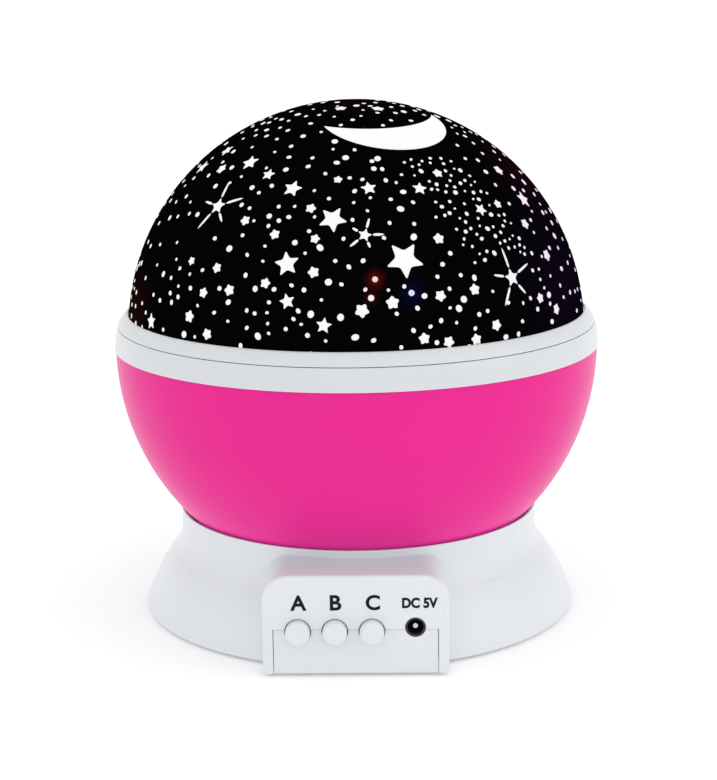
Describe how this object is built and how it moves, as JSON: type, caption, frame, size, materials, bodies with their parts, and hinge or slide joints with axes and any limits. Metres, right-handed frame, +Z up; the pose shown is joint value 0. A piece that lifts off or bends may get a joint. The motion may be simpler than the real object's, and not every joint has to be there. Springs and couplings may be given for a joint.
{
  "type": "star night light projector",
  "caption": "Round night light: a dark star-cut dome and pink bowl turn on a white flared base with buttons and a power inlet.",
  "frame": {"origin": "on the floor under the ball's axis, centre of the footprint", "axes": "+Z up along the ball's axis; -Y is the front, where the buttons and power inlet are; +X to the right seen from the front"},
  "size_m": [0.128, 0.128, 0.1347],
  "materials": {
    "shell_white": "satin moulded white",
    "pink": "smooth moulded pink",
    "black_dome": "dark print on a clear moulded dome",
    "milky": "milky light-spreading dome",
    "rubber": "matt",
    "dark_plastic": "moulded black",
    "steel": "plated",
    "nylon": "natural nylon",
    "board": "green circuit board",
    "lead_red": "wire sleeve",
    "cell": "plain sleeve",
    "led_red": "clear lens",
    "led_blue": "clear lens",
    "led_green": "clear lens",
    "led_white": "clear lens"
  },
  "bodies": {
    "base": {"base_shell": "shell_white", "bottom_plate": "shell_white", "rubber_feet": "rubber", "dc_jack_body": "dark_plastic", "switch_bodies": "dark_plastic", "chassis_plate": "dark_plastic", "led_post": "dark_plastic", "base_screws": "steel", "chassis_screws": "steel", "motor_screws": "steel", "battery_springs": "steel", "contact_plates": "steel", "post_clip": "steel", "motor_can": "steel", "dc_jack_pin": "steel", "gearbox": "nylon", "thrust_washer": "nylon", "control_board": "board", "led_board": "board", "led_lead": "lead_red", "motor_lead": "lead_red", "battery_leads": "lead_red", "battery_cell_1": "cell", "battery_cell_2": "cell", "battery_cell_3": "cell", "battery_cell_4": "cell", "led_red": "led_red", "led_blue": "led_blue", "led_green": "led_green", "led_white": "led_white"},
    "ball": {"bowl": "pink", "rim_ring": "shell_white", "reflector_deck": "dark_plastic", "ball_gear": "nylon", "hub_bush": "nylon", "gear_screws": "steel"},
    "dome": {"star_dome": "black_dome", "light_dome": "milky", "dome_collar": "shell_white"},
    "drive": {"drive_pinion": "nylon", "motor_shaft": "steel"},
    "battery_door": {"battery_door": "shell_white"},
    "button_a": {"button_a": "shell_white", "switch_plunger_a": "dark_plastic"},
    "button_b": {"button_b": "shell_white", "switch_plunger_b": "dark_plastic"},
    "button_c": {"button_c": "shell_white", "switch_plunger_c": "dark_plastic"}
  },
  "joints": [
    {"name": "ball_spin", "type": "hinge", "parent": "base", "child": "ball", "pos_m": [0, 0, 0.0708], "axis": [0, 0, 1], "continuous": true},
    {"name": "pinion_spin", "type": "hinge", "parent": "base", "child": "drive", "pos_m": [0, 0.032, 0.022], "axis": [0, 0, 1], "continuous": true},
    {"name": "dome_lift", "type": "slide", "parent": "ball", "child": "dome", "axis": [0, 0, 1], "range_m": [0, 0.075]},
    {"name": "button_a_press", "type": "slide", "parent": "base", "child": "button_a", "axis": [0, 1, 0], "range_m": [0, 0.001], "stiffness_N_per_m": 300, "springref_m": -0.001},
    {"name": "button_b_press", "type": "slide", "parent": "base", "child": "button_b", "axis": [0, 1, 0], "range_m": [0, 0.001], "stiffness_N_per_m": 300, "springref_m": -0.001},
    {"name": "button_c_press", "type": "slide", "parent": "base", "child": "button_c", "axis": [0, 1, 0], "range_m": [0, 0.001], "stiffness_N_per_m": 300, "springref_m": -0.001},
    {"name": "battery_door_open", "type": "hinge", "parent": "base", "child": "battery_door", "pos_m": [0, 0.01547, 0.0017], "axis": [1, 0, 0], "range_deg": [0, 100]}
  ],
  "couplings": [
    {"joint": "pinion_spin", "follows": "ball_spin", "ratio": -4.3333}
  ]
}
